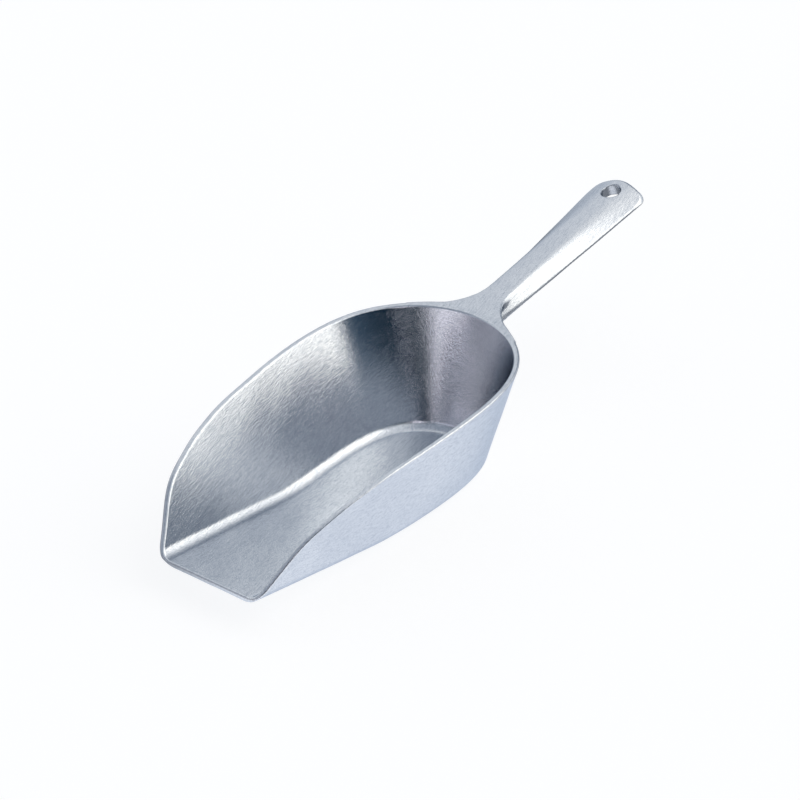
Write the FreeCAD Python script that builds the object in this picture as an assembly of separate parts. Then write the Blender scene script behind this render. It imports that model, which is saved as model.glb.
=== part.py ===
import FreeCAD, Part
import math
import os

# Cast aluminium feed scoop, in millimetres, +Z up, mirrored about the plane Y = 0.
# The real scoop is one casting with nothing fastened to it.  It is drawn here as it is
# cast, and then cut by flat borders into the named parts that a person would point at.
# Neighbouring parts meet face to face.
#
# Drawing frame: X runs from the mouth (0) to the tip of the handle, and Z = 0 is the
# surface that the flat bottom stands on.  Each part is moved to the row frame at the
# end, where the origin lies on that surface under the middle of the whole length.

Vector = FreeCAD.Vector

# ---------------------------------------------------------------- driving dimensions
OVERALL_LENGTH = 316.0
WALL = 3.2                      # thickness of the walls and the floor

# Half of the inside floor's plan outline, mouth to back: the control points of one
# cubic curve that crosses the centre line squarely at the back.
FLOOR_PLAN = [(0.0, 24.8), (42.9, 29.6), (94.4, 34.9), (163.0, 37.4), (171.6, 10.1), (171.6, 0.0)]
SIDE_DRAFT = 23.1               # degrees that the side walls lean out
BACK_DRAFT = 19.4               # degrees that the back wall leans out
FLOOR_BEND_X = 85.9             # the floor is flat behind this line and rises before it
FLOOR_RISE = 9.0                # degrees
FLOOR_BEND_RADIUS = 200.0
INNER_FILLET = 4.0
OUTER_FILLET = 8.0

# Side view of the rim: (X, height above the inside of the flat floor).
RIM_LINE = [(0.0, 14.0), (7.2, 21.5), (21.5, 36.2), (40.2, 45.3), (63.4, 51.3), (101.0, 55.0),
            (157.8, 58.0), (196.0, 59.8)]

# Handle: its two side edges climb along one straight line.  Between them the top has a
# gently crowned middle, and a flank falls from each side of that to the edge.
EDGE_START = (209.0, 57.4)      # X and Z of a point on that line
EDGE_RISE = 10.2                # degrees
EDGE_DEPTH = 1.8                # depth of the upright side edges
CREST_RISE = 9.0                # degrees that the crest climbs where it leaves the rim
BAR_SECTIONS = [                # X, half width, half width of the middle, crest over edge line
    (186.0, 10.2, 8.8, 8.0), (209.0, 10.4, 8.2, 7.6), (237.0, 12.1, 7.4, 7.0),
    (274.0, 14.4, 7.0, 6.1), (318.0, 17.0, 7.0, 5.0)]
CROWN = 0.8                     # how far the middle rises between its own edges
TIP_CORNER = 8.0                # plan radius of the tip's two corners
TIP_BULGE = 1.0                 # how far the tip's end bows out between them
TIP_ROLL = 3.0                  # radius of the tip's top edge
WEB_PLAN = [(186.0, 34.0), (191.3, 26.6), (196.6, 18.6), (201.5, 13.2), (207.0, 9.8), (214.0, 8.0)]
WEB_THICKNESS = 3.4
CHANNEL_START_X = 214.0         # the hollow under the handle
CHANNEL_END_X = 288.0
CHANNEL_SKIN = 3.2              # metal left over the hollow and beside it
HOLE_X = 305.3
HOLE_RADIUS = 5.0
HOLE_CHAMFER = 0.8

# Borders between the named parts
LIP_BORDER_X = 18.0             # pouring lip before it, floor behind it
BACK_BORDER_X = 150.0           # floor and side walls before it, back wall behind it
FLOOR_BORDERS = (22.0, 28.0)    # half width of the lip and floor parts: at the mouth, at the back
NECK_BORDER_X = 196.0           # back wall before it, neck behind it
GRIP_BORDER_X = 210.0           # neck before it, grip behind it
EYE_BORDER_X = 292.0            # grip before it, hanging eye behind it

# ---------------------------------------------------------------- worked out
RIM_BACK_X, RIM_BACK_HEIGHT = RIM_LINE[-1]
FLOOR_TOP = WALL
FLOOR_BACK_X = FLOOR_PLAN[-1][0]
RISE = math.radians(FLOOR_RISE)

# Drawing aids
AHEAD = -15.0                   # blocks start before the mouth and are cut flush later
BEHIND = OVERALL_LENGTH + 40.0
FAR = 140.0                     # beyond every height and half width of the scoop
BLOCK_LOW, BLOCK_HIGH = -25.0, 75.0
PLAN_STEPS = 28


# ---------------------------------------------------------------- bowl

def plan_stations():
    """Points of the half outline with their outward normals, from ahead of the mouth."""
    curve = Part.BSplineCurve()
    poles = [Vector(x, y, 0) for x, y in FLOOR_PLAN]
    curve.buildFromPolesMultsKnots(poles, [4, 1, 1, 4], [0.0, 1 / 3, 2 / 3, 1.0], False, 3)
    stations = []
    for step in range(PLAN_STEPS + 1):
        tangent = curve.tangent(step / PLAN_STEPS)[0]
        stations.append((curve.value(step / PLAN_STEPS), Vector(-tangent.y, tangent.x, 0)))
    mouth, normal = stations[0]
    along = Vector(normal.y, -normal.x, 0)
    return [(mouth + along * (AHEAD / along.x), normal)] + stations


def plan_wire(z, outward_at):
    """Closed outline at height z, moved outwards by what outward_at gives for a normal."""
    half = []
    for point, normal in plan_stations():
        spot = point + normal * outward_at(normal)
        half.append(Vector(spot.x, spot.y, z))
    points = half + [Vector(spot.x, -spot.y, z) for spot in reversed(half[:-1])]
    curve = Part.BSplineCurve()
    curve.interpolate(Points=points, Parameters=[n / (len(points) - 1) for n in range(len(points))])
    return Part.Wire([curve.toShape(), Part.makeLine(points[-1], points[0])])


def wall_outline(height, thickness):
    """Outline of the wall at a height over the inside floor, thickness outside the cavity."""
    def outward(normal):
        towards_back = max(normal.x, 0.0) ** 2
        draft = math.radians(SIDE_DRAFT + (BACK_DRAFT - SIDE_DRAFT) * towards_back)
        return math.tan(draft) * height + thickness / math.cos(draft)
    return plan_wire(FLOOR_TOP + height, outward)


def across(edges):
    """Solid that pushes a closed side view through more than the whole width."""
    face = Part.Face(Part.Wire(edges))
    face.translate(Vector(0, -FAR, 0))
    return face.extrude(Vector(0, 2 * FAR, 0))


def above_floor(drop):
    """Everything over the floor line: a rising line, a long bend and a flat line."""
    level = FLOOR_TOP - drop
    reach = FLOOR_BEND_RADIUS * math.tan(RISE / 2)
    start_x = AHEAD - 5.0
    front = Vector(start_x, 0, level + (FLOOR_BEND_X - start_x) * math.tan(RISE))
    bend_front = Vector(FLOOR_BEND_X - reach * math.cos(RISE), 0, level + reach * math.sin(RISE))
    bend_back = Vector(FLOOR_BEND_X + reach, 0, level)
    bend_middle = Vector(bend_back.x - FLOOR_BEND_RADIUS * math.sin(RISE / 2), 0,
                         level + FLOOR_BEND_RADIUS * (1 - math.cos(RISE / 2)))
    back = Vector(BEHIND, 0, level)
    high_back = Vector(BEHIND, 0, FAR)
    high_front = Vector(start_x, 0, FAR)
    return across([
        Part.makeLine(front, bend_front), Part.Arc(bend_front, bend_middle, bend_back).toShape(),
        Part.makeLine(bend_back, back), Part.makeLine(back, high_back),
        Part.makeLine(high_back, high_front), Part.makeLine(high_front, front)])


def below_rim():
    """Everything under the rim line and the crest that carries on from it."""
    points = [Vector(x, 0, FLOOR_TOP + height) for x, height in RIM_LINE]
    curve = Part.BSplineCurve()
    curve.interpolate(Points=points)
    climb = (BEHIND - RIM_BACK_X) * math.tan(math.radians(CREST_RISE))
    back = Vector(BEHIND, 0, points[-1].z + climb)
    low_back = Vector(BEHIND, 0, -FAR)
    low_front = Vector(points[0].x, 0, -FAR)
    return across([curve.toShape(), Part.makeLine(points[-1], back), Part.makeLine(back, low_back),
                   Part.makeLine(low_back, low_front), Part.makeLine(low_front, points[0])])


def bottom_corner(block, drop):
    """The edges where the wall of a block meets its floor line."""
    found = []
    for edge in block.Edges:
        points = edge.discretize(5)
        rises = [max(FLOOR_BEND_X - point.x, 0.0) * math.tan(RISE) for point in points]
        clear = max(point.z - FLOOR_TOP + drop - rise for point, rise in zip(points, rises))
        middle = points[2]
        at_back = middle.x > FLOOR_BACK_X - OUTER_FILLET
        along_wall = abs(middle.y) > OUTER_FILLET or at_back
        crosses = abs(points[0].x - points[4].x) < 1.0 and not at_back
        if clear < WALL and along_wall and not crosses:
            found.append(edge)
    return found


def bowl_block(thickness, drop, fillet):
    """The bowl's outside, or its cavity, as a block with a rounded bottom corner."""
    outlines = [wall_outline(BLOCK_LOW, thickness), wall_outline(BLOCK_HIGH, thickness)]
    block = Part.makeLoft(outlines, True, True).common(above_floor(drop)).removeSplitter()
    return block.makeFillet(fillet, bottom_corner(block, drop))


# ---------------------------------------------------------------- handle

def edge_height(x):
    """Z of the top of the handle's side edges."""
    return EDGE_START[1] + (x - EDGE_START[0]) * math.tan(math.radians(EDGE_RISE))


def bar_section(x):
    """Half width, half width of the middle, and rise at X, between the driving sections."""
    for before, after in zip(BAR_SECTIONS, BAR_SECTIONS[1:]):
        if before[0] <= x <= after[0]:
            share = (x - before[0]) / (after[0] - before[0])
            return [low + (high - low) * share for low, high in zip(before[1:], after[1:])]


def bar_wire(x, half_width, middle, rise, top, depth):
    """Section with a raised middle, whose sides start at Z top and go down by depth."""
    left_top, right_top = Vector(x, -half_width, top), Vector(x, half_width, top)
    left_low, right_low = Vector(x, -half_width, top - depth), Vector(x, half_width, top - depth)
    shoulder = top + rise - CROWN
    left_shoulder, right_shoulder = Vector(x, -middle, shoulder), Vector(x, middle, shoulder)
    return Part.Wire([Part.makeLine(left_low, left_top), Part.makeLine(left_top, left_shoulder),
                      Part.Arc(left_shoulder, Vector(x, 0, top + rise), right_shoulder).toShape(),
                      Part.makeLine(right_shoulder, right_top),
                      Part.makeLine(right_top, right_low), Part.makeLine(right_low, left_low)])


def bar():
    """The raised bar of the handle with its rounded tip."""
    wires = [bar_wire(x, half, middle, rise, edge_height(x), EDGE_DEPTH)
             for x, half, middle, rise in BAR_SECTIONS]
    return Part.makeLoft(wires, True, False).common(tip_outline()).cut(tip_roll())


def tip_roll():
    """Cutter that rounds the top of the handle's end over."""
    roll_x = OVERALL_LENGTH - TIP_ROLL
    roll_z = edge_height(roll_x) + bar_section(roll_x)[2] - TIP_ROLL
    block = Part.makeBox(2 * TIP_ROLL, 2 * FAR, 2 * TIP_ROLL, Vector(roll_x, -FAR, roll_z))
    roll = Part.makeCylinder(TIP_ROLL, 2 * FAR, Vector(roll_x, -FAR, roll_z), Vector(0, 1, 0))
    return block.cut(roll)


def tip_outline():
    """Upright column over the handle's plan, which rounds the corners of the tip."""
    start_x, wide = BAR_SECTIONS[0][0], BAR_SECTIONS[-1][1]
    corner_x = OVERALL_LENGTH - TIP_BULGE - TIP_CORNER
    corner_y = bar_section(corner_x)[0] - TIP_CORNER
    diagonal = TIP_CORNER * math.sqrt(0.5)
    edges = [Part.makeLine(Vector(start_x, -wide, 0), Vector(start_x, wide, 0))]
    for side in (1, -1):
        flank = Vector(corner_x, side * (corner_y + TIP_CORNER), 0)
        beside = Vector(corner_x - TIP_CORNER, side * wide, 0)
        end = Vector(corner_x + TIP_CORNER, side * corner_y, 0)
        middle = Vector(corner_x + diagonal, side * (corner_y + diagonal), 0)
        edges += [Part.makeLine(Vector(start_x, side * wide, 0), beside),
                  Part.makeLine(beside, flank), Part.Arc(flank, middle, end).toShape()]
    bow = [Vector(corner_x + TIP_CORNER, corner_y, 0), Vector(OVERALL_LENGTH, 0, 0),
           Vector(corner_x + TIP_CORNER, -corner_y, 0)]
    edges.append(Part.Arc(*bow).toShape())
    wire = Part.Wire(Part.__sortEdges__(edges))
    return Part.Face(wire).extrude(Vector(0, 0, FAR))


def channel():
    """The hollow under the handle, which leaves an even skin over it."""
    wires = []
    places = 4
    for step in range(places):
        x = CHANNEL_START_X + (CHANNEL_END_X - CHANNEL_START_X) * step / (places - 1)
        half, middle, rise = bar_section(x)
        top = edge_height(x) - EDGE_DEPTH + 0.6
        rise += EDGE_DEPTH - 0.6 - CHANNEL_SKIN
        wires.append(bar_wire(x, half - CHANNEL_SKIN, middle - CHANNEL_SKIN / 2, rise, top, 2 * WALL))
    return Part.makeLoft(wires, True, True)


def web():
    """The thin fan that spreads the handle into the rim, flush with the rim's top."""
    left = [Vector(x, -y, 0) for x, y in WEB_PLAN]
    right = [Vector(x, y, 0) for x, y in WEB_PLAN]
    sides = []
    for points in (left, right):
        curve = Part.BSplineCurve()
        curve.interpolate(Points=points)
        sides.append(curve.toShape())
    plan = Part.Face(Part.Wire([sides[0], Part.makeLine(left[-1], right[-1]), sides[1],
                                Part.makeLine(right[0], left[0])]))
    lowered = below_rim()
    lowered.translate(Vector(0, 0, -WEB_THICKNESS))
    return plan.extrude(Vector(0, 0, FAR)).common(below_rim()).cut(lowered)


def hole():
    """Cutter for the hanging hole: square to the side edges, its top mouth broken."""
    tilt = math.radians(EDGE_RISE)
    axis = Vector(-math.sin(tilt), 0, math.cos(tilt))
    crest = Vector(HOLE_X, 0, edge_height(HOLE_X) + bar_section(HOLE_X)[2])
    drill = Part.makeCylinder(HOLE_RADIUS, 2 * FAR, crest - axis * FAR, axis)
    depth = 4 * HOLE_CHAMFER
    mouth = Part.makeCone(HOLE_RADIUS, HOLE_RADIUS + depth, depth, crest - axis * HOLE_CHAMFER, axis)
    return drill.fuse(mouth)


# ---------------------------------------------------------------- cutting into parts

def slab(start_x, end_x, start_y=-FAR, end_y=FAR):
    """Upright block between two X and two Y values."""
    return Part.makeBox(end_x - start_x, end_y - start_y, 2 * FAR, Vector(start_x, start_y, -FAR))


def floor_column():
    """Upright column over the lip and the floor, clear of the rounded bottom corner."""
    at_mouth, at_back = FLOOR_BORDERS
    at_start = at_mouth + (at_back - at_mouth) / BACK_BORDER_X * AHEAD
    corners = [Vector(AHEAD, -at_start, -FAR), Vector(BACK_BORDER_X, -at_back, -FAR),
               Vector(BACK_BORDER_X, at_back, -FAR), Vector(AHEAD, at_start, -FAR)]
    return Part.Face(Part.makePolygon(corners + corners[:1])).extrude(Vector(0, 0, 2 * FAR))


def casting():
    """The whole scoop as one solid."""
    outside = bowl_block(WALL, WALL, OUTER_FILLET).common(below_rim())
    cavity = bowl_block(0.0, 0.0, INNER_FILLET)
    solid = outside.fuse([web(), bar()]).cut(cavity).cut(channel()).cut(hole())
    return solid.common(slab(0.0, BEHIND)).removeSplitter()


def scoop_parts():
    """Name to solid, in the drawing frame."""
    whole = casting()
    front = whole.common(slab(AHEAD, BACK_BORDER_X))
    floor = front.common(floor_column())
    walls = front.cut(floor_column())
    return {
        "pouring_lip": floor.common(slab(AHEAD, LIP_BORDER_X)),
        "bowl_floor": floor.common(slab(LIP_BORDER_X, BACK_BORDER_X)),
        "left_side_wall": walls.common(slab(AHEAD, BACK_BORDER_X, -FAR, 0.0)),
        "right_side_wall": walls.common(slab(AHEAD, BACK_BORDER_X, 0.0, FAR)),
        "back_wall": whole.common(slab(BACK_BORDER_X, NECK_BORDER_X)),
        "handle_neck": whole.common(slab(NECK_BORDER_X, GRIP_BORDER_X)),
        "handle_grip": whole.common(slab(GRIP_BORDER_X, EYE_BORDER_X)),
        "hanging_eye": whole.common(slab(EYE_BORDER_X, BEHIND)),
    }


def main():
    os.makedirs("parts", exist_ok=True)
    for name, solid in scoop_parts().items():
        solid = solid.removeSplitter()
        solid.translate(Vector(-OVERALL_LENGTH / 2, 0, 0))
        solid.exportStep("parts/" + name + ".step")
        print(name, "valid", solid.isValid(), "solids", len(solid.Solids), "volume", round(solid.Volume))


main()
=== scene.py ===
import math

import bmesh
import bpy
import numpy as np
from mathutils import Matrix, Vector

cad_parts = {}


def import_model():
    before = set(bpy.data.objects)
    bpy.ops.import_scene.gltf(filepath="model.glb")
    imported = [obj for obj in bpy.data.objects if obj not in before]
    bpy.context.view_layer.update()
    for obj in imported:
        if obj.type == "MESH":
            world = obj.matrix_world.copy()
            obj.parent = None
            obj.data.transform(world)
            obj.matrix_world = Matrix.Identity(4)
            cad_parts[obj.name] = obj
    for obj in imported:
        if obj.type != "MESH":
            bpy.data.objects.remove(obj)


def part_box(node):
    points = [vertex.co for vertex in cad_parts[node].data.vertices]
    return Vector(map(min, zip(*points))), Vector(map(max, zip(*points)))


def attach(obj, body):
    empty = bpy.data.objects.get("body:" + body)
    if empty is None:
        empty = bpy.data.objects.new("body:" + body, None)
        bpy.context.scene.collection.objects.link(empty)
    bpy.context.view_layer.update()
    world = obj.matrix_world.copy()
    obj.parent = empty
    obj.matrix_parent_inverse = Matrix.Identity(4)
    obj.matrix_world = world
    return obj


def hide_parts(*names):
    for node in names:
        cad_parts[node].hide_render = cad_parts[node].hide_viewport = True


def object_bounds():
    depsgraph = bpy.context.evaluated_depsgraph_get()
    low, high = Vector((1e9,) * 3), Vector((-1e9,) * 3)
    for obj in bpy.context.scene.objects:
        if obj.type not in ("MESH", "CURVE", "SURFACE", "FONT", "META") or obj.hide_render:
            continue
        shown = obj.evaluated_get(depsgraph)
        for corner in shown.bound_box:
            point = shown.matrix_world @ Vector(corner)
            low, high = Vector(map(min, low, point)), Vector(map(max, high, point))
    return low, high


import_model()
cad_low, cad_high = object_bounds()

# Looks of a cast aluminium feed scoop.  The whole casting is one distance formula, which is
# turned into a fine mesh, laid exactly on the formula's skin, and cut by the same flat
# borders as the CAD model into one piece for each CAD node.
#
# Shapes are worked out in the drawing frame of the CAD model, in millimetres: X from the
# mouth to the tip of the handle, Z = 0 on the surface that the flat bottom stands on.

MM = 0.001


def place(value, axis):
    """A coordinate of the row frame, in metres, as millimetres of the drawing frame."""
    return (value - (cad_low.x if axis == 0 else 0.0)) / MM


# ---------------------------------------------------------------- dimensions of the casting
LENGTH = place(cad_high.x, 0)
WALL = 3.2

# The outline of the inside floor, from the mouth back to the middle: the poles of a cubic spline.
FLOOR_PLAN = [(0.0, 24.8), (42.9, 29.6), (94.4, 34.9), (163.0, 37.4), (171.6, 10.1), (171.6, 0.0)]
PLAN_KNOTS = [0.0, 0.0, 0.0, 0.0, 1 / 3, 2 / 3, 1.0, 1.0, 1.0, 1.0]
SIDE_DRAFT = 23.1               # degrees that the side walls lean out
BACK_DRAFT = 19.4
FLOOR_BEND_X = 85.9             # the floor is flat behind this line and rises before it
FLOOR_RISE = math.radians(9.0)
FLOOR_BEND_RADIUS = 200.0
INNER_FILLET = 4.0
OUTER_FILLET = 8.0

RIM_LINE = [(0.0, 14.0), (7.2, 21.5), (21.5, 36.2), (40.2, 45.3), (63.4, 51.3), (101.0, 55.0),
            (157.8, 58.0), (196.0, 59.8)]
RIM_OUTER_EDGE = 1.3            # radii of the edges of the rim
RIM_INNER_EDGE = 1.1
MOUTH_EDGE = 0.8

EDGE_START = (209.0, 57.4)      # a point on the side edges of the handle
EDGE_RISE = math.radians(10.2)
EDGE_DEPTH = 1.8                # height of the upright side edges
CREST_RISE = math.radians(9.0)
BAR_SECTIONS = [                # X, half width, half width of the middle, crest over edge line
    (186.0, 10.2, 8.8, 8.0), (209.0, 10.4, 8.2, 7.6), (237.0, 12.1, 7.4, 7.0),
    (274.0, 14.4, 7.0, 6.1), (318.0, 17.0, 7.0, 5.0)]
CROWN = 0.8                     # how far the middle falls to its sides
CROWN_START_X, CROWN_END_X = 200.0, 220.0
SHOULDER_EASE = 1.6             # width of the soft change from crest to flank
BAR_EDGE = 0.6
TIP_CORNER = 6.0                # radius of the tip's corners in plan
TIP_BULGE = 1.0                 # how far the middle of the tip stands out past them
TIP_ROLL = 2.6                  # radius of the top edge at the tip
TIP_ROLL_START_X = 302.0
WEB_PLAN = [(186.0, 34.0), (191.3, 26.6), (196.6, 18.6), (201.5, 13.2), (207.0, 9.8), (214.0, 8.0)]
WEB_THICKNESS = 3.4
WEB_EDGE, WEB_END_EDGE = 0.8, 3.0
WEB_EDGE_CHANGE = (-6.0, 8.0)   # where the first becomes the second, from the grip's start
CHANNEL_START_X, CHANNEL_END_X = 214.0, 288.0
CHANNEL_SKIN = 3.2
HOLE_X = 305.3
HOLE_RADIUS = 5.0
HOLE_CHAMFER = 0.8

UNDER_EDGE = 0.8                # radii of the small edges and fillets
HOLLOW_EDGE = 0.7
HOLLOW_CORNER = 1.0
HOLLOW_END = 2.0
HOLE_EDGE = 0.4
BAR_FILLET = 0.8
SHELL_FILLET = 2.0
ROOT_EDGE = 0.1
BAR_ROOT_LENGTH = 10.0          # how far the handle starts ahead of the rim line's last point

# ---------------------------------------------------------------- borders between the pieces
LIP_BORDER_X = place(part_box("pouring_lip")[1].x, 0)
BACK_BORDER_X = place(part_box("bowl_floor")[1].x, 0)
NECK_BORDER_X = place(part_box("back_wall")[1].x, 0)
GRIP_BORDER_X = place(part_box("handle_neck")[1].x, 0)
EYE_BORDER_X = place(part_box("handle_grip")[1].x, 0)
LIP_HALF_WIDTH = place(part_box("pouring_lip")[1].y, 1)
FLOOR_HALF_WIDTH = place(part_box("bowl_floor")[1].y, 1)

GRID = 0.56
GRID_MARGIN = 2.5
COARSE = 4                      # the grid is first read this many steps apart


# ---------------------------------------------------------------- small formulas

def smooth_line(points):
    """Function that gives value and slope of a smooth line through (place, value) points."""
    at, values = np.array(points, float).T
    slopes = np.gradient(values, at)

    def line(x):
        span = np.clip(np.searchsorted(at, x) - 1, 0, len(at) - 2)
        run = at[span + 1] - at[span]
        past = np.clip(x, at[0], at[-1])
        t = (past - at[span]) / run
        start, end = values[span], values[span + 1]
        leave, arrive = slopes[span] * run, slopes[span + 1] * run
        bend = 3 * (end - start) - 2 * leave - arrive
        twist = leave + arrive - 2 * (end - start)
        value = start + t * (leave + t * (bend + t * twist))
        slope = (leave + t * (2 * bend + t * 3 * twist)) / run
        return value + slope * (x - past), slope

    return line


def ease(x, start, end):
    """0 before start, 1 after end, and smooth between them."""
    t = np.clip((x - start) / (end - start), 0.0, 1.0)
    return t * t * (3 - 2 * t)


def meet(a, b, radius):
    """Common part of two solids, with its edge rounded."""
    return (np.minimum(np.maximum(a, b), -radius)
            + np.hypot(np.maximum(radius + a, 0.0), np.maximum(radius + b, 0.0)))


def soften(a, b, width):
    """Common part of two solids that meet at a shallow angle, with the corner eased."""
    return np.maximum(a, b) + np.maximum(width - np.abs(a - b), 0.0) ** 2 / (4 * width)


def join(a, b, radius):
    """Both solids together, with a fillet where they meet."""
    return (np.maximum(np.minimum(a, b), radius)
            - np.hypot(np.maximum(radius - a, 0.0), np.maximum(radius - b, 0.0)))


# ---------------------------------------------------------------- plan outline of the bowl

STATION_GAP = 0.1
STRAIGHT_STATIONS = 60          # ahead of the mouth
TABLE_GAP = 1.0


def outline_stations():
    """Evenly spaced stations along half the outline: point, tangent and curvature."""
    t = np.linspace(0.0, 1.0 - 1e-9, 6001)
    basis = [((t >= low) & (t < high)).astype(float) for low, high in zip(PLAN_KNOTS, PLAN_KNOTS[1:])]
    for degree in (1, 2, 3):
        raised = []
        for n in range(len(basis) - 1):
            rise = PLAN_KNOTS[n + degree] - PLAN_KNOTS[n]
            fall = PLAN_KNOTS[n + degree + 1] - PLAN_KNOTS[n + 1]
            part = np.zeros_like(t)
            if rise > 0:
                part += (t - PLAN_KNOTS[n]) / rise * basis[n]
            if fall > 0:
                part += (PLAN_KNOTS[n + degree + 1] - t) / fall * basis[n + 1]
            raised.append(part)
        basis = raised
    curve = np.array(basis).T @ np.array(FLOOR_PLAN)
    run = np.concatenate([[0.0], np.cumsum(np.linalg.norm(np.diff(curve, axis=0), axis=1))])
    even = np.linspace(0.0, run[-1], int(run[-1] / STATION_GAP) + 1)
    points = np.stack([np.interp(even, run, curve[:, n]) for n in (0, 1)], axis=1)
    tangents = np.gradient(points, even, axis=0, edge_order=2)
    tangents /= np.linalg.norm(tangents, axis=1)[:, None]
    turn = np.unwrap(np.arctan2(tangents[:, 1], tangents[:, 0]))
    smoothing = np.ones(41) / 41
    bends = -np.gradient(turn, even)
    bends = np.convolve(np.pad(bends, 20, mode="edge"), smoothing, mode="valid")
    ahead = points[0] - tangents[0] * (np.arange(STRAIGHT_STATIONS, 0, -1) * STATION_GAP)[:, None]
    points = np.concatenate([ahead, points])
    tangents = np.concatenate([np.repeat(tangents[:1], STRAIGHT_STATIONS, axis=0), tangents])
    bends = np.concatenate([np.zeros(STRAIGHT_STATIONS), bends])
    return points, tangents, bends


def nearest_table(points):
    """Number of the nearest station, for each crossing of a coarse grid over the plan."""
    columns = np.arange(-6.0, LENGTH + 8.0, TABLE_GAP)
    rows = np.arange(0.0, 72.0, TABLE_GAP)
    table = np.empty((len(columns), len(rows)))
    for n, x in enumerate(columns):
        away = (points[:, 0] - x) ** 2 + (points[:, 1][None, :] - rows[:, None]) ** 2
        table[n] = away.argmin(axis=1)
    return columns[0], table


STATIONS, TANGENTS, BENDS = outline_stations()
TABLE_START_X, NEAREST = nearest_table(STATIONS)


def from_outline(x, side):
    """Distance outwards from the plan outline, and how far the outline faces the back there."""
    column = np.clip((x - TABLE_START_X) / TABLE_GAP, 0.0, NEAREST.shape[0] - 1.001)
    row = np.clip(side / TABLE_GAP, 0.0, NEAREST.shape[1] - 1.001)
    c, r = column.astype(int), row.astype(int)
    u, v = column - c, row - r
    station = ((1 - u) * ((1 - v) * NEAREST[c, r] + v * NEAREST[c, r + 1])
               + u * ((1 - v) * NEAREST[c + 1, r] + v * NEAREST[c + 1, r + 1]))
    station = np.rint(station).astype(int)
    tangent, bend = TANGENTS[station], BENDS[station]
    gap_x, gap_y = x - STATIONS[station, 0], side - STATIONS[station, 1]
    along = gap_x * tangent[:, 0] + gap_y * tangent[:, 1]
    out = gap_y * tangent[:, 0] - gap_x * tangent[:, 1]
    reach = np.hypot(1 + bend * out, bend * along)
    distance = (out * (2 + bend * out) + bend * along ** 2) / (reach + 1)
    facing = ((1 + bend * out) * -tangent[:, 1] + bend * along * tangent[:, 0]) / reach
    return distance, np.clip(facing, 0.0, 1.0)


# ---------------------------------------------------------------- the casting as a formula

RIM_HEIGHT = smooth_line([(x, WALL + height) for x, height in RIM_LINE])
WEB_HALF_WIDTH = smooth_line(WEB_PLAN)
BAR_HALF_WIDTH = smooth_line([section[:2] for section in BAR_SECTIONS])
MIDDLE_HALF_WIDTH = smooth_line([(section[0], section[2]) for section in BAR_SECTIONS])
CREST_OVER_EDGE = smooth_line([(section[0], section[3]) for section in BAR_SECTIONS])


def floor_height(x):
    """Z of the inside floor and the cosine of its slope."""
    reach = FLOOR_BEND_RADIUS * math.tan(FLOOR_RISE / 2)
    bend_end = FLOOR_BEND_X + reach
    bend_start = FLOOR_BEND_X - reach * math.cos(FLOOR_RISE)
    back = np.clip(bend_end - x, 0.0, bend_end - bend_start)
    drop = np.sqrt(FLOOR_BEND_RADIUS ** 2 - back ** 2)
    ahead = np.maximum(bend_start - x, 0.0)
    height = WALL + FLOOR_BEND_RADIUS - drop + ahead * math.tan(FLOOR_RISE)
    return height, drop / FLOOR_BEND_RADIUS


def edge_height(x):
    """Z of the top of the handle's side edges."""
    return EDGE_START[1] + (x - EDGE_START[0]) * math.tan(EDGE_RISE)


def hole_crest():
    """Z of the handle's middle at the hanging hole."""
    return edge_height(HOLE_X) + float(CREST_OVER_EDGE(np.array([HOLE_X]))[0][0])


def top_skin(x, side):
    """Height over the surface that the rim, the fan and the handle's crest share."""
    rim, slope = RIM_HEIGHT(np.minimum(x, RIM_LINE[-1][0]))
    past = np.maximum(x - RIM_LINE[-1][0], 0.0)
    rim = rim + past * math.tan(CREST_RISE)
    slope = np.where(past > 0, math.tan(CREST_RISE), slope)
    crest = edge_height(x) + CREST_OVER_EDGE(x)[0]
    share = ease(x, RIM_LINE[-1][0], CROWN_END_X)
    middle = MIDDLE_HALF_WIDTH(x)[0]
    crown = CROWN * ease(x, CROWN_START_X, CROWN_END_X) * (side / middle) ** 2
    return rim + (crest - rim) * share - crown, 1 / np.hypot(1.0, slope)


def bowl_skins(x, side, z):
    """Distances outside the bowl's outer skin and outside its cavity, both without a rim."""
    outward, facing = from_outline(x, side)
    draft = np.radians(SIDE_DRAFT + (BACK_DRAFT - SIDE_DRAFT) * facing ** 2)
    wall = (outward - np.tan(draft) * (z - WALL)) * np.cos(draft)
    floor, upright = floor_height(x)
    outer = meet(wall - WALL, (floor - WALL - z) * upright, OUTER_FILLET)
    inner = meet(wall, (floor - z) * upright, INNER_FILLET)
    return outer, inner


def handle_skin(x, side, z, top):
    """Distance outside the handle: crowned middle, flanks, upright edges and hollow back."""
    half = BAR_HALF_WIDTH(x)[0]
    middle = MIDDLE_HALF_WIDTH(x)[0]
    edge = edge_height(x)
    drop = CREST_OVER_EDGE(x)[0] - CROWN
    run = half - middle
    flank = ((side - middle) * drop + (z - edge - drop) * run) / np.hypot(drop, run)
    end = x - LENGTH + TIP_BULGE * np.minimum(side / (half - TIP_CORNER), 1.0) ** 2
    column = meet(end, side - half, TIP_CORNER)
    bottom = (edge - EDGE_DEPTH - z) * math.cos(EDGE_RISE)
    roll = BAR_EDGE + (TIP_ROLL - BAR_EDGE) * ease(x, TIP_ROLL_START_X, LENGTH)
    roof = soften(top, flank, SHOULDER_EASE)
    skin = meet(meet(roof, column, roll), bottom, BAR_EDGE)
    ends = np.maximum(CHANNEL_START_X - x, x - CHANNEL_END_X)
    hollow = meet(meet(roof, side - half, HOLLOW_CORNER) + CHANNEL_SKIN, ends, HOLLOW_END)
    root_x = RIM_LINE[-1][0] - BAR_ROOT_LENGTH
    return meet(meet(skin, -hollow, HOLLOW_EDGE), root_x - x, ROOT_EDGE)


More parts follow.
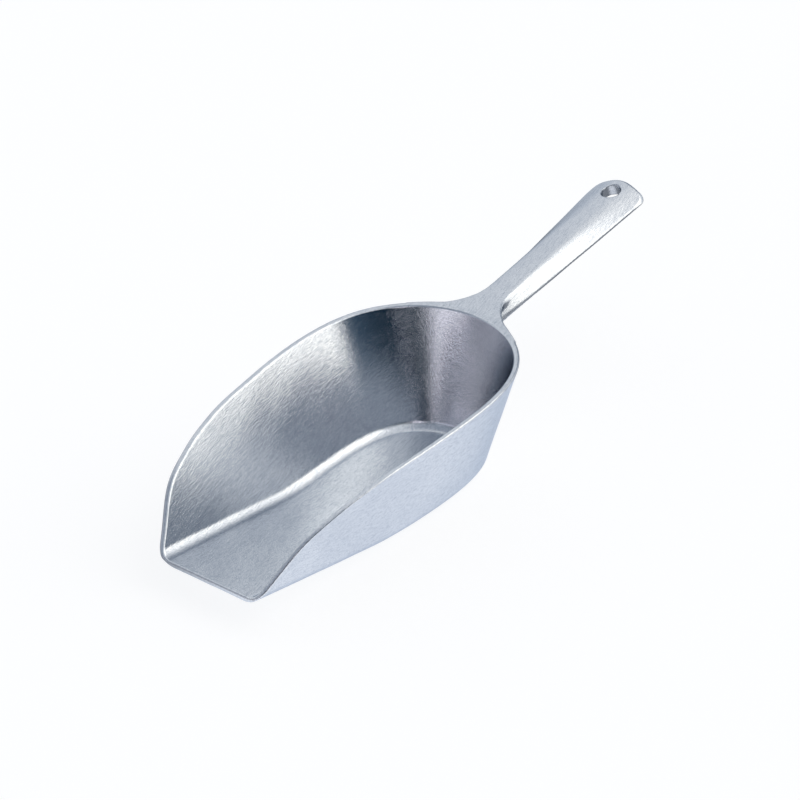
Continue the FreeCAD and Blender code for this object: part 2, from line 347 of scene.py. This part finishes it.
def hole_skin(x, side, z):
    """Distance outside the hanging hole and its broken top edge."""
    crest = hole_crest()
    across = (x - HOLE_X) * math.cos(EDGE_RISE) + (z - crest) * math.sin(EDGE_RISE)
    up = (z - crest) * math.cos(EDGE_RISE) - (x - HOLE_X) * math.sin(EDGE_RISE)
    radial = np.hypot(across, side)
    cone = (radial - HOLE_RADIUS - HOLE_CHAMFER - up) * math.sqrt(0.5)
    return np.minimum(radial - HOLE_RADIUS, cone)


def casting(x, y, z):
    """Distance outside the skin of the whole scoop, negative in the metal."""
    side = np.abs(y)
    outer, inner = bowl_skins(x, side, z)
    crest, upright = top_skin(x, side)
    top = (z - crest) * upright
    shell = meet(outer, top, RIM_OUTER_EDGE)

    fan_half, fan_slope = WEB_HALF_WIDTH(x)
    fan = (side - fan_half) / np.hypot(1.0, fan_slope)
    fan = meet(fan, (crest - WEB_THICKNESS - z) * upright, UNDER_EDGE)
    fan = np.maximum(fan, WEB_PLAN[0][0] - x)
    change_start, change_end = (GRIP_BORDER_X + away for away in WEB_EDGE_CHANGE)
    edge = WEB_EDGE + (WEB_END_EDGE - WEB_EDGE) * ease(x, change_start, change_end)
    fan = meet(fan, top, edge)

    handle = handle_skin(x, side, z, top)
    solid = join(join(handle, fan, BAR_FILLET), shell, SHELL_FILLET)
    solid = np.maximum(solid, top)
    solid = meet(solid, -inner, RIM_INNER_EDGE)
    solid = meet(solid, -x, MOUTH_EDGE)
    return meet(solid, -hole_skin(x, side, z), HOLE_EDGE)


WAVE_COUNT = 6
WAVE_HEIGHT = 0.02
WAVE_LENGTHS = (16.0, 42.0)
RANDOM = np.random.default_rng(7)
WAVE_DIRECTIONS = RANDOM.normal(size=(WAVE_COUNT, 3))
WAVE_DIRECTIONS /= np.linalg.norm(WAVE_DIRECTIONS, axis=1)[:, None]
WAVE_NUMBERS = 2 * math.pi / RANDOM.uniform(*WAVE_LENGTHS, size=WAVE_COUNT)
WAVE_PHASES = RANDOM.uniform(0.0, 2 * math.pi, size=WAVE_COUNT)


def uneven(x, y, z):
    """Gentle waves of a hand-poured and tumbled skin, which never rise above the formula's skin."""
    total = 0.0
    for direction, number, phase in zip(WAVE_DIRECTIONS, WAVE_NUMBERS, WAVE_PHASES):
        along = x * direction[0] + y * direction[1] + z * direction[2]
        total = total + np.sin(along * number + phase)
    return (total - WAVE_COUNT) * WAVE_HEIGHT


READING_REACH = 0.02


def skin(points):
    """Distance and direction outside the uneven skin, from four readings close by."""
    total, gradient = 0.0, np.zeros_like(points)
    for corner in ((1, -1, -1), (-1, -1, 1), (-1, 1, -1), (1, 1, 1)):
        spot = points + READING_REACH * np.array(corner)
        reading = casting(*spot.T) - uneven(*spot.T)
        total = total + reading / 4
        gradient += reading[:, None] * np.array(corner)
    gradient /= 4 * READING_REACH
    return total, gradient


# ---------------------------------------------------------------- from the formula to a mesh

def read_grid():
    """Readings of the casting on a regular grid, worked out for one side and mirrored."""
    low = -GRID_MARGIN
    xs = np.arange(low, LENGTH + GRID_MARGIN, GRID)
    half = np.arange(0.5, (place(cad_high.y, 1) + GRID_MARGIN) / GRID) * GRID
    zs = np.arange(low, place(cad_high.z, 2) + GRID_MARGIN, GRID)
    readings = np.empty((len(xs), len(half), len(zs)), np.float32)
    side, up = np.meshgrid(half, zs, indexing="ij")
    for n, x in enumerate(xs):
        few_side, few_up = side[::COARSE, ::COARSE], up[::COARSE, ::COARSE]
        few = casting(np.full(few_side.size, x), few_side.ravel(), few_up.ravel())
        layer = few.reshape(few_side.shape).repeat(COARSE, axis=0).repeat(COARSE, axis=1)
        layer = layer[:len(half), :len(zs)]
        close = np.abs(layer) < 2 * COARSE * GRID
        layer[close] = casting(np.full(close.sum(), x), side[close], up[close])
        readings[n] = layer
    both = np.concatenate([readings[:, ::-1], readings], axis=1)
    return both, np.array([xs[0], -half[-1], zs[0]])


def net(readings, corner):
    """Quads with one vertex in each grid cell that the skin passes through."""
    inside = readings < 0
    cell = tuple(n - 1 for n in inside.shape)
    count = np.zeros(cell, np.uint8)
    for i in (0, 1):
        for j in (0, 1):
            for k in (0, 1):
                count += inside[i:i + cell[0], j:j + cell[1], k:k + cell[2]]
    crossed = (count > 0) & (count < 8)
    number = np.full(cell, -1, np.int32)
    number[crossed] = np.arange(crossed.sum())
    vertices = corner + (np.argwhere(crossed) + 0.5) * GRID

    quads = []
    for axis in range(3):
        first, second = (axis + 1) % 3, (axis + 2) % 3
        before = np.take(inside, range(0, inside.shape[axis] - 1), axis)
        after = np.take(inside, range(1, inside.shape[axis]), axis)
        place_at = np.argwhere(before != after)
        ring = []
        for back_first, back_second in ((0, 0), (1, 0), (1, 1), (0, 1)):
            at = place_at.copy()
            at[:, first] -= back_first
            at[:, second] -= back_second
            ring.append(number[tuple(at.T)])
        ring = np.stack(ring, axis=1)
        outwards = before[tuple(place_at.T)]
        ring[~outwards] = ring[~outwards][:, ::-1]
        quads.append(ring)
    return vertices, np.concatenate(quads)


EVENING_ROUNDS = 3
EVENING = 0.7                   # how far a vertex goes to the middle of its quads in one round
LEAST_STEEPNESS = 0.25


def laid_on_skin(vertices):
    """Vertices moved by one step of Newton's method onto the skin."""
    reading, gradient = skin(vertices)
    steep = np.maximum((gradient ** 2).sum(axis=1), LEAST_STEEPNESS)
    return vertices - (reading / steep)[:, None] * gradient


def settle(vertices, quads):
    """Vertices evened out and laid on the skin, with the skin's direction at each."""
    share = np.bincount(quads.ravel(), minlength=len(vertices))
    for _ in range(EVENING_ROUNDS):
        total = np.zeros_like(vertices)
        middle = vertices[quads].mean(axis=1)
        for axis in range(3):
            for corner in range(4):
                total[:, axis] += np.bincount(quads[:, corner], middle[:, axis], len(vertices))
        vertices = vertices + EVENING * (total / share[:, None] - vertices)
        vertices = laid_on_skin(vertices)
    vertices = laid_on_skin(vertices)
    normals = skin(vertices)[1]
    return vertices, normals / np.linalg.norm(normals, axis=1)[:, None]


def piece_borders():
    """For each node, the flat borders that bound it: a point and the direction out of it.

    The border that takes most away comes first, which keeps the cutting short."""
    def before(x):
        return (x, 0.0, 0.0), (1.0, 0.0, 0.0)

    def behind(x):
        return (x, 0.0, 0.0), (-1.0, 0.0, 0.0)

    widening = (FLOOR_HALF_WIDTH - LIP_HALF_WIDTH) / (BACK_BORDER_X - LIP_BORDER_X)
    length = math.hypot(1.0, widening)
    out = (-widening / length, 1 / length)

    def inside_floor(way):
        return (LIP_BORDER_X, way * LIP_HALF_WIDTH, 0.0), (out[0], way * out[1], 0.0)

    def outside_floor(way):
        return (LIP_BORDER_X, way * LIP_HALF_WIDTH, 0.0), (-out[0], -way * out[1], 0.0)

    return {
        "pouring_lip": [before(LIP_BORDER_X), inside_floor(1), inside_floor(-1)],
        "bowl_floor": [inside_floor(1), inside_floor(-1), before(BACK_BORDER_X), behind(LIP_BORDER_X)],
        "left_side_wall": [outside_floor(-1), before(BACK_BORDER_X)],
        "right_side_wall": [outside_floor(1), before(BACK_BORDER_X)],
        "back_wall": [behind(BACK_BORDER_X), before(NECK_BORDER_X)],
        "handle_neck": [behind(NECK_BORDER_X), before(GRIP_BORDER_X)],
        "handle_grip": [behind(GRIP_BORDER_X), before(EYE_BORDER_X)],
        "hanging_eye": [behind(EYE_BORDER_X)],
    }


def open_loops(work):
    """The closed rows of vertices round the openings, each in the order that a cover takes them."""
    following = {}
    for edge in work.edges:
        if edge.is_boundary:
            corner = edge.link_loops[0]
            following[corner.link_loop_next.vert] = corner.vert
    loops = []
    while following:
        start, at = following.popitem()
        loop = [start]
        while at is not start:
            loop.append(at)
            at = following.pop(at)
        loops.append(loop)
    return loops


def cut_piece(name, vertices, normals, quads, borders, material):
    """The stretch of the casting inside some borders, as a closed mesh object."""
    first_point, first_out = borders[0]
    near = (vertices - np.array(first_point)) @ np.array(first_out) < 2 * GRID
    quads = quads[near[quads].any(axis=1)]
    used = np.unique(quads)
    renumber = np.zeros(len(vertices), np.int64)
    renumber[used] = np.arange(len(used))

    mesh = bpy.data.meshes.new(name)
    mesh.from_pydata(vertices[used].tolist(), [], renumber[quads].tolist())
    stored = mesh.attributes.new("skin_normal", "FLOAT_VECTOR", "POINT")
    stored.data.foreach_set("vector", normals[used].astype(np.float32).ravel())

    work = bmesh.new()
    work.from_mesh(mesh)
    cap_mark = work.faces.layers.int.new("border")
    for number, (point, out) in enumerate(borders, 1):
        everything = work.verts[:] + work.edges[:] + work.faces[:]
        bmesh.ops.bisect_plane(work, geom=everything, dist=1e-5, plane_co=point, plane_no=out,
                               clear_outer=True)
        for loop in open_loops(work):
            work.faces.new(loop)[cap_mark] = number
    for vertex in work.verts:
        vertex.co = (vertex.co * MM) + Vector((cad_low.x, 0.0, 0.0))
    work.to_mesh(mesh)
    work.free()

    face_mark = np.zeros(len(mesh.polygons), np.int32)
    mesh.attributes["border"].data.foreach_get("value", face_mark)
    sizes = np.zeros(len(mesh.polygons), np.int32)
    mesh.polygons.foreach_get("loop_total", sizes)
    corners = np.zeros(len(mesh.loops), np.int32)
    mesh.loops.foreach_get("vertex_index", corners)
    kept = np.zeros(len(mesh.vertices) * 3, np.float32)
    mesh.attributes["skin_normal"].data.foreach_get("vector", kept)
    loop_normals = kept.reshape(-1, 3)[corners]
    outs = np.array([(0.0, 0.0, 0.0)] + [out for point, out in borders])
    marks = np.repeat(face_mark, sizes)
    loop_normals[marks > 0] = outs[marks[marks > 0]]
    loop_normals /= np.linalg.norm(loop_normals, axis=1)[:, None]
    mesh.polygons.foreach_set("use_smooth", np.ones(len(mesh.polygons), bool))
    mesh.normals_split_custom_set(loop_normals.tolist())
    mesh.attributes.remove(mesh.attributes["skin_normal"])
    mesh.attributes.remove(mesh.attributes["border"])
    mesh.materials.append(material)

    piece = bpy.data.objects.new(name, mesh)
    bpy.context.scene.collection.objects.link(piece)
    return piece


def build_scoop(material):
    readings, corner = read_grid()
    vertices, quads = net(readings, corner)
    vertices, normals = settle(vertices, quads)
    for node, borders in piece_borders().items():
        piece = cut_piece("cast_" + node, vertices, normals, quads, borders, material)
        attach(piece, "root")
        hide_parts(node)


# ---------------------------------------------------------------- node helpers

class Nodes:
    """A node tree with short calls for the nodes that the materials and the studio use.

    An input called n and a number is the node's input at that place in its list."""

    def __init__(self, tree):
        self.tree = tree

    def add(self, kind, settings=(), **inputs):
        node = self.tree.nodes.new("ShaderNode" + kind)
        for name, value in dict(settings).items():
            setattr(node, name, value)
        for name, value in inputs.items():
            numbered = name[0] == "n" and name[1:].isdigit()
            socket = node.inputs[int(name[1:]) if numbered else name]
            if isinstance(value, bpy.types.NodeSocket):
                self.tree.links.new(value, socket)
            else:
                socket.default_value = value
        return node

    def math(self, operation, first, second=0.0):
        return self.add("Math", {"operation": operation}, n0=first, n1=second).outputs[0]

    def fit(self, value, low, high, start, end, smooth=False):
        """value from low to high becomes start to end, and stays there beyond."""
        kind = "SMOOTHSTEP" if smooth else "LINEAR"
        node = self.add("MapRange", {"interpolation_type": kind},
                        n0=value, n1=low, n2=high, n3=start, n4=end)
        return node.outputs[0]

    def product(self, first, *others):
        for other in others:
            first = self.math("MULTIPLY", first, other)
        return first

    def dot(self, vector, direction):
        node = self.add("VectorMath", {"operation": "DOT_PRODUCT"}, n0=vector, n1=direction)
        return node.outputs["Value"]

    def blend(self, share, first, second):
        """first where share is 0, second where it is 1; each is a socket or red, green and blue."""
        first, second = [(*one, 1.0) if isinstance(one, tuple) else one for one in (first, second)]
        node = self.add("Mix", {"data_type": "RGBA"}, n0=share, n6=first, n7=second)
        return node.outputs[2]


# ---------------------------------------------------------------- material
#
# Noise scales count features over a metre.  Colours are red, green and blue.

LIGHT_METAL, DARK_METAL = (0.86, 0.87, 0.88), (0.79, 0.805, 0.825)
SCRATCH_TONE = (0.42, 0.46, 0.52)
STROKE_TONE = (0.46, 0.50, 0.56)
GRAIN_TONE = (0.44, 0.48, 0.54)
# painted shade: the colour that the wall of the hanging hole is darkened to, standing in for the shade
# inside the hole
HOLE_SHADE_TONE = (0.10, 0.12, 0.16)
GRAZING_TINT = (0.60, 0.65, 0.72, 1.0)
RELIEF_DEPTH = 0.0001
RELIEF_STRENGTH = 0.6
SCRATCH_SHARE, STROKE_SHARE, MOTTLE_SHARE, GRAIN_SHARE = 1.1, 0.8, 0.9, 0.8


def hole_shade_share(nodes, at):
    """How much painted shade darkens the metal, by its distance from the axis of the hanging hole: the
    hole's wall is painted dark in place of the shade in the recess.
    """
    across = (math.cos(EDGE_RISE), 0.0, math.sin(EDGE_RISE))
    middle = (HOLE_X * MM + cad_low.x, 0.0, hole_crest() * MM)
    away = nodes.add("VectorMath", {"operation": "SUBTRACT"}, n0=at, n1=middle).outputs[0]
    along = nodes.dot(away, across)
    beside = nodes.dot(away, (0.0, 1.0, 0.0))
    squares = nodes.math("ADD", nodes.product(along, along), nodes.product(beside, beside))
    radial = nodes.math("SQRT", squares)
    return nodes.fit(radial, (HOLE_RADIUS - 0.1) * MM, (HOLE_RADIUS + 0.2) * MM, 0.9, 0.0)


def cast_aluminium():
    """Tumbled satin aluminium: fine slanting scratches, strokes, mottles and a sandy grain, with
    painted shade on the wall of the hanging hole.
    """
    material = bpy.data.materials.new("cast_aluminium")
    material.use_nodes = True
    nodes = Nodes(material.node_tree)
    shader = material.node_tree.nodes["Principled BSDF"]
    at = nodes.add("TexCoord").outputs["Object"]

    def noise(place_at, scale, detail, roughness=0.6):
        node = nodes.add("TexNoise", Vector=place_at, Scale=scale, Detail=detail, Roughness=roughness)
        return node.outputs[0]

    def drawn_out(turn, stretch, scale, detail):
        """Noise drawn out into streaks along the X axis turned by some angles."""
        turned = nodes.add("Mapping", Vector=at, Rotation=turn).outputs[0]
        thin = nodes.add("Mapping", Vector=turned, Scale=(1 / stretch, 1.0, 1.0)).outputs[0]
        return noise(thin, scale, detail)

    scratches = drawn_out((0.1, 0.30, 0.15), stretch=8.0, scale=2000.0, detail=3.0)
    strokes = drawn_out((-0.2, 0.05, -0.25), stretch=6.0, scale=950.0, detail=3.0)
    mottles = noise(at, scale=330.0, detail=4.0)
    grain = noise(at, scale=2100.0, detail=2.0)
    clouds = noise(at, scale=30.0, detail=3.0, roughness=0.5)

    rough = nodes.fit(grain, 0.45, 0.68, 0.10, 0.19)
    rough = nodes.math("ADD", rough, nodes.fit(scratches, 0.40, 0.75, -0.02, 0.06))
    rough = nodes.math("ADD", rough, nodes.fit(clouds, 0.35, 0.65, -0.02, 0.02))

    relief = nodes.product(scratches, SCRATCH_SHARE)
    for pattern, share in ((strokes, STROKE_SHARE), (mottles, MOTTLE_SHARE), (grain, GRAIN_SHARE)):
        relief = nodes.math("ADD", relief, nodes.product(pattern, share))
    bump = nodes.add("Bump", Strength=RELIEF_STRENGTH, Distance=RELIEF_DEPTH, Height=relief).outputs[0]

    tone = nodes.blend(nodes.fit(clouds, 0.35, 0.65, 0.0, 1.0), DARK_METAL, LIGHT_METAL)
    tone = nodes.blend(nodes.fit(scratches, 0.56, 0.70, 0.0, 0.50), tone, SCRATCH_TONE)
    tone = nodes.blend(nodes.fit(strokes, 0.48, 0.66, 0.0, 0.32), tone, STROKE_TONE)
    tone = nodes.blend(nodes.fit(grain, 0.52, 0.66, 0.0, 0.55), tone, GRAIN_TONE)
    # painted shade: the wall of the hanging hole is darkened in colour, as if shaded
    tone = nodes.blend(hole_shade_share(nodes, at), tone, HOLE_SHADE_TONE)

    shader.inputs["Metallic"].default_value = 1.0
    shader.inputs["Specular Tint"].default_value = GRAZING_TINT
    material.node_tree.links.new(tone, shader.inputs["Base Color"])
    material.node_tree.links.new(rough, shader.inputs["Roughness"])
    material.node_tree.links.new(bump, shader.inputs["Normal"])
    return material


# ---------------------------------------------------------------- camera and studio

CAMERA_PLACE = (-0.8465, -0.8907, 0.7818)
CAMERA_BACK = (-0.58076981, -0.62617497, 0.52020317)
CAMERA_RIGHT = (0.6761531, -0.72690514, -0.12010788)
CAMERA_LENS = 130.82            # both in millimetres
SENSOR_WIDTH = 36.0
CAMERA_SIGHT = 20.0


def make_camera():
    data = bpy.data.cameras.new("camera")
    data.lens = CAMERA_LENS
    data.sensor_width = SENSOR_WIDTH
    data.clip_end = CAMERA_SIGHT
    camera = bpy.data.objects.new("camera", data)
    back, right = Vector(CAMERA_BACK).normalized(), Vector(CAMERA_RIGHT).normalized()
    up = back.cross(right)
    turn = camera.matrix_world.to_3x3()
    turn.col[0], turn.col[1], turn.col[2] = right, up, back
    camera.matrix_world = turn.to_4x4()
    camera.location = CAMERA_PLACE
    bpy.context.scene.collection.objects.link(camera)
    bpy.context.scene.camera = camera


def towards(azimuth, elevation):
    """Unit vector at an azimuth from +X and an elevation, in degrees."""
    azimuth, elevation = math.radians(azimuth), math.radians(elevation)
    level = math.cos(elevation)
    return (math.cos(azimuth) * level, math.sin(azimuth) * level, math.sin(elevation))


GREY_AIR, DIM_AIR, DIM_CORNER = (0.68, 0.72, 0.78), (0.29, 0.33, 0.40), (0.22, 0.26, 0.32)
PURPLE_WALL, LILAC_WALL, LILAC_PATCH = (0.26, 0.27, 0.34), (0.98, 0.96, 1.08), (1.25, 1.22, 1.38)
DUSK, NAVY_GAP, BLACK_GAP = (0.12, 0.14, 0.18), (0.045, 0.080, 0.125), (0.002, 0.014, 0.030)
PANEL, PANEL_TOP, PANEL_MIDDLE = (1.32, 1.32, 1.29), (1.04, 1.04, 1.04), (1.50, 1.50, 1.48)
PANEL_FACING = (-0.62, -0.656, 0.43)
BACKDROP = (1.0, 1.0, 1.0)


def make_room():
    """Light round the scoop: grey-blue air, a lilac wall, a dark gap and a large white panel.

    The camera itself sees a plain white backdrop instead."""
    world = bpy.data.worlds.new("studio")
    world.use_nodes = True
    nodes = Nodes(world.node_tree)
    way = nodes.add("TexCoord").outputs["Generated"]

    height = nodes.dot(way, (0, 0, 1))

    def below(low, high):
        """1 where the sine of the elevation is under low, 0 where it is over high."""
        return nodes.fit(height, low, high, 1.0, 0.0, True)

    def side_of(azimuth, softness=0.03):
        """1 on the half of the room that faces an azimuth, 0 on the other half."""
        return nodes.fit(nodes.dot(way, towards(azimuth, 0)), -softness, softness, 0.0, 1.0, True)

    def near(azimuth, elevation, outer, inner):
        """1 within the inner angle of a direction, 0 beyond the outer angle."""
        closeness = nodes.dot(way, towards(azimuth, elevation))
        limits = [math.cos(math.radians(angle)) for angle in (outer, inner)]
        return nodes.fit(closeness, *limits, 0.0, 1.0, True)

    room = nodes.blend(near(152, 48, outer=50, inner=12), GREY_AIR, DIM_AIR)
    room = nodes.blend(near(20, 28, outer=24, inner=9), room, DIM_CORNER)

    low = below(0.22, 0.33)
    room = nodes.blend(nodes.product(side_of(88), side_of(-170), low), room, PURPLE_WALL)
    room = nodes.blend(nodes.product(side_of(-125, 0.06), side_of(-170), low), room, LILAC_WALL)
    room = nodes.blend(nodes.product(near(88, 5, outer=26, inner=12), below(0.12, 0.30)), room, DUSK)

    gap = nodes.product(side_of(-177), side_of(-92), below(0.48, 0.84))
    room = nodes.blend(gap, room, nodes.blend(near(-165, 8, outer=75, inner=10), NAVY_GAP, BLACK_GAP))
    room = nodes.blend(near(-160, 29, outer=11, inner=6), room, LILAC_PATCH)

    panel = nodes.fit(nodes.dot(way, PANEL_FACING), -0.10, 0.12, 0.0, 1.0, True)
    panel = nodes.product(panel, side_of(5, 0.015), below(0.87, 0.93))
    glare = nodes.blend(nodes.fit(height, 0.50, 0.70, 0.0, 1.0), PANEL, PANEL_TOP)
    glare = nodes.blend(near(-48, 48, outer=32, inner=16), glare, PANEL_MIDDLE)
    room = nodes.blend(panel, room, glare)

    seen = nodes.add("LightPath").outputs["Is Camera Ray"]
    room = nodes.blend(seen, room, BACKDROP)
    background = world.node_tree.nodes["Background"]
    world.node_tree.links.new(room, background.inputs["Color"])
    bpy.context.scene.world = world


FLOOR_REACH = 6.0
FLOOR_DROP = 0.0002
FLOOR_COLOUR = (0.30, 0.30, 0.30, 1.0)
GLOW_MIDDLE = (-0.05, -0.08, 0.0)
NEAR_GLOW, RING_GLOW, FAR_GLOW = (0.72, 0.76, 0.84), (0.05, 0.06, 0.08), (0.45, 0.47, 0.50)
SEEN_GLOW = (0.80, 0.80, 0.80)


def floor_glow(nodes):
    """What the floor gives off: even for the camera, and for the metal light with a dark ring."""
    seen = nodes.add("LightPath").outputs["Is Camera Ray"]
    at = nodes.add("TexCoord").outputs["Object"]
    away = nodes.add("VectorMath", {"operation": "DISTANCE"}, n0=at, n1=GLOW_MIDDLE).outputs["Value"]
    ring = nodes.product(nodes.fit(away, 0.13, 0.20, 0.0, 1.0, True),
                         nodes.fit(away, 0.34, 0.46, 1.0, 0.0, True))
    glow = nodes.blend(nodes.fit(away, 0.20, 0.34, 0.0, 1.0), NEAR_GLOW, FAR_GLOW)
    glow = nodes.blend(ring, glow, RING_GLOW)
    return nodes.blend(seen, glow, SEEN_GLOW)


def make_floor():
    """A pale floor that glows a little, so that only a faint shadow shows under the scoop."""
    mesh = bpy.data.meshes.new("studio_floor")
    corners = [(-FLOOR_REACH, -FLOOR_REACH, 0), (FLOOR_REACH, -FLOOR_REACH, 0),
               (FLOOR_REACH, FLOOR_REACH, 0), (-FLOOR_REACH, FLOOR_REACH, 0)]
    mesh.from_pydata(corners, [], [(0, 1, 2, 3)])
    floor = bpy.data.objects.new("studio_floor", mesh)
    floor.location.z = -FLOOR_DROP
    bpy.context.scene.collection.objects.link(floor)
    material = bpy.data.materials.new("pale_floor")
    material.use_nodes = True
    shader = material.node_tree.nodes["Principled BSDF"]
    shader.inputs["Base Color"].default_value = FLOOR_COLOUR
    shader.inputs["Roughness"].default_value = 0.9
    shader.inputs["Specular IOR Level"].default_value = 0.0
    glow = floor_glow(Nodes(material.node_tree))
    material.node_tree.links.new(glow, shader.inputs["Emission Color"])
    shader.inputs["Emission Strength"].default_value = 1.0
    mesh.materials.append(material)


make_camera()
make_room()
make_floor()
bpy.context.scene.view_settings.view_transform = "Standard"
build_scoop(cast_aluminium())
